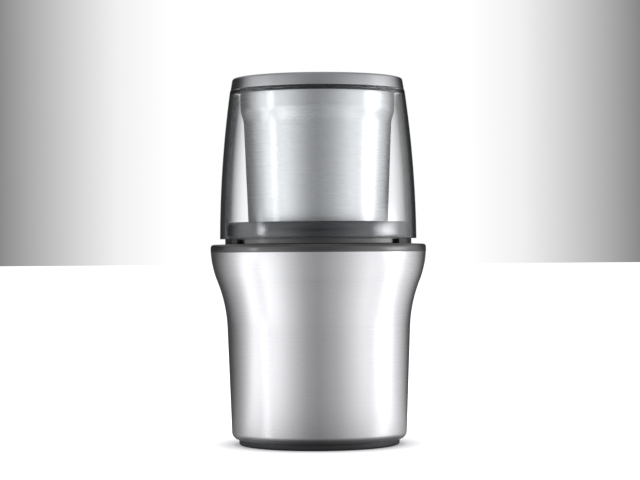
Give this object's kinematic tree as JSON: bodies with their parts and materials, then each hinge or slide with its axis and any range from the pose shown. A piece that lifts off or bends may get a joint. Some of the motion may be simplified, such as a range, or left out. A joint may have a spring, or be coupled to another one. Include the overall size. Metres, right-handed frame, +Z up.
{
  "type": "electric spice grinder",
  "caption": "Round motor base with a steel skin, lift-out steel grinding bowl with blade, and a clear lid with a steel cap that is pressed to run it.",
  "frame": {"origin": "middle of the foot ring's underside, on the table", "axes": "+Z up along the motor's axis; the front faces -Y, the cord inlet is at +Y; +X to the right seen from the front"},
  "size_m": [0.121, 0.121, 0.205],
  "materials": {
    "brushed_shell": "fine horizontal brushing",
    "brushed_cap": "fine brushing round the rim",
    "bowl_steel": "satin, brushed round",
    "deck_plastic": "dark grey, fine texture",
    "collar_plastic": "glossy black",
    "clear_plastic": "clear, slightly smoky plastic",
    "black_plastic": "black moulded",
    "housing_plastic": "grey moulded",
    "foot_rubber": "matte",
    "seal_rubber": "matte",
    "drive_plastic": "off-white nylon",
    "motor_steel": "oiled laminations and pressed plate",
    "copper": "enamelled copper and bronze",
    "carbon": "pressed carbon",
    "spring_steel": "bright wire and strip",
    "screw_steel": "zinc plated",
    "blade_steel": "bright ground",
    "fuse_white": "ceramic white"
  },
  "bodies": {
    "base": {"foot_ring": "foot_rubber", "base_cup": "deck_plastic", "outer_shell": "brushed_shell", "inner_housing": "housing_plastic", "top_deck": "deck_plastic", "microswitch": "black_plastic", "motor_mounts": "seal_rubber", "lower_bracket": "motor_steel", "lower_bearing": "copper", "field_core": "motor_steel", "field_coils": "copper", "upper_bracket": "motor_steel", "upper_bearing": "copper", "motor_bolts": "screw_steel", "motor_nuts": "screw_steel", "thermal_fuse": "fuse_white", "brush_holders": "black_plastic", "carbon_brushes": "carbon", "brush_springs": "spring_steel", "shaft_seal": "seal_rubber", "cord_gland": "seal_rubber", "cord_clamp": "black_plastic", "clamp_screws": "screw_steel", "terminal_block": "black_plastic", "base_screws": "screw_steel", "deck_screws": "screw_steel", "press_springs": "spring_steel"},
    "press_ring": {"press_ring": "black_plastic"},
    "switch_lever": {"switch_lever": "spring_steel"},
    "switch_plunger": {"switch_plunger": "black_plastic"},
    "rotor": {"motor_shaft": "motor_steel", "armature_core": "motor_steel", "armature_windings": "copper", "commutator": "copper", "cooling_fan": "black_plastic", "drive_coupling": "drive_plastic"},
    "bowl": {"bowl_cup": "bowl_steel", "bowl_collar": "collar_plastic", "stud_nuts": "screw_steel", "blade_bearing": "copper", "blade_seal": "seal_rubber"},
    "blade": {"blade_shaft": "blade_steel", "blade": "blade_steel", "blade_washer": "blade_steel", "blade_nut": "blade_steel", "driven_coupling": "drive_plastic"},
    "inner_cover": {"inner_cover": "black_plastic", "bowl_gasket": "seal_rubber", "lid_springs": "spring_steel"},
    "lid": {"clear_cover": "clear_plastic", "lid_cap": "brushed_cap", "cap_liner": "black_plastic"}
  },
  "joints": [
    {"name": "bowl_lift", "type": "slide", "parent": "base", "child": "bowl", "axis": [0, 0, 1], "range_m": [0, 0.09]},
    {"name": "lid_lift", "type": "slide", "parent": "bowl", "child": "inner_cover", "axis": [0, 0, 1], "range_m": [0, 0.11]},
    {"name": "lid_press", "type": "slide", "parent": "inner_cover", "child": "lid", "axis": [0, 0, 1], "range_m": [-0.0025, 0], "stiffness_N_per_m": 1500, "springref_m": 0.003, "deforming": ["lid_springs"]},
    {"name": "press_ring_slide", "type": "slide", "parent": "base", "child": "press_ring", "axis": [0, 0, 1], "range_m": [-0.0025, 0], "deforming": ["press_springs"]},
    {"name": "switch_lever_tilt", "type": "hinge", "parent": "base", "child": "switch_lever", "pos_m": [-0.008, 0.0388, 0.07694], "axis": [0, 1, 0], "range_deg": [0, 8.8]},
    {"name": "switch_plunger_slide", "type": "slide", "parent": "base", "child": "switch_plunger", "axis": [0, 0, 1], "range_m": [-0.00121, 0]},
    {"name": "motor_spin", "type": "hinge", "parent": "base", "child": "rotor", "pos_m": [0, 0, 0.06], "axis": [0, 0, 1], "continuous": true},
    {"name": "blade_spin", "type": "hinge", "parent": "bowl", "child": "blade", "pos_m": [0, 0, 0.125], "axis": [0, 0, 1], "continuous": true}
  ],
  "couplings": [
    {"joint": "press_ring_slide", "follows": "lid_press", "ratio": 1},
    {"joint": "switch_lever_tilt", "follows": "lid_press", "rad_per_m": -60.9},
    {"joint": "switch_plunger_slide", "follows": "lid_press", "ratio": 0.48},
    {"joint": "blade_spin", "follows": "motor_spin", "ratio": 1}
  ]
}
